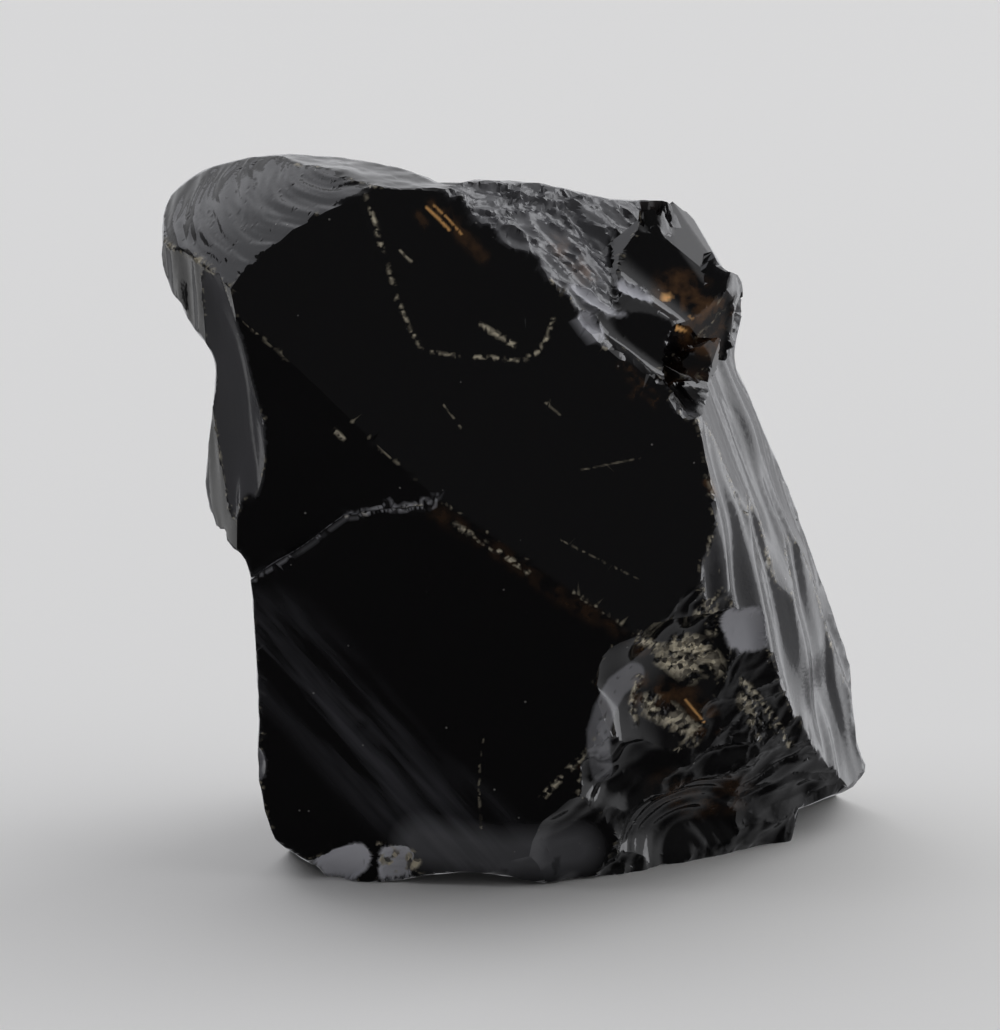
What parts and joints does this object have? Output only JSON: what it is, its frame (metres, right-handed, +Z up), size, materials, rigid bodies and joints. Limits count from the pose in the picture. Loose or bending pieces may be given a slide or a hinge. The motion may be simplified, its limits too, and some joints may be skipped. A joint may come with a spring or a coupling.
{
  "type": "andara crystal",
  "caption": "Chunk of black volcanic glass with two large smooth fracture faces, a fluted flank and hackly broken edges, standing on its flat underside.",
  "frame": {"origin": "middle of the bounding box's footprint, at the height of the flat underside", "axes": "+Z up as the stone stands, +Y away from its two large smooth faces, +X towards its fluted flank and sharp lower corner"},
  "size_m": [0.072, 0.0423, 0.0728],
  "materials": {
    "volcanic_glass": "glossy, naturally fractured, black with brown see-through edges"
  },
  "bodies": {
    "root": {"andara_crystal": "volcanic_glass"}
  },
  "joints": []
}
